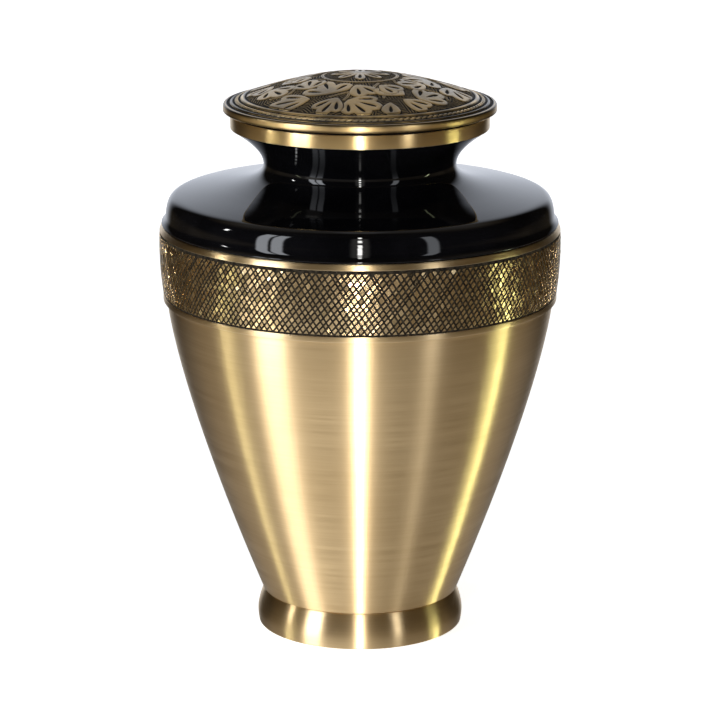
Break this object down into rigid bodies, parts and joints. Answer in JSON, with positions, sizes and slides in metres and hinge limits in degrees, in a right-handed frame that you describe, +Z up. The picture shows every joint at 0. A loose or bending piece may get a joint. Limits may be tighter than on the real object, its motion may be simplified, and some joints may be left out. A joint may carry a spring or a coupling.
{
  "type": "cremation urn",
  "caption": "Tapered brass cremation urn on a round foot, with a net-cut band, black shoulder and neck, and a leaf-carved domed lid that lifts off.",
  "frame": {"origin": "centre of the foot ring's sole, on the surface the urn stands on", "axes": "+Z up along the turning axis, from the foot to the top of the lid; -Y faces the pictured side"},
  "size_m": [0.1804, 0.1804, 0.2541],
  "materials": {
    "satin_brass": "brushed round the axis, lacquered, satin; a diamond net cut into the band",
    "polished_brass": "polished",
    "antique_brass": "aged, with bright raised leaves on a dark hatched ground",
    "black_enamel": "gloss enamel on brass"
  },
  "bodies": {
    "root": {"foot_ring": "satin_brass", "body": "satin_brass", "shoulder": "black_enamel", "mouth_ring": "polished_brass", "lid": "antique_brass"}
  },
  "joints": []
}
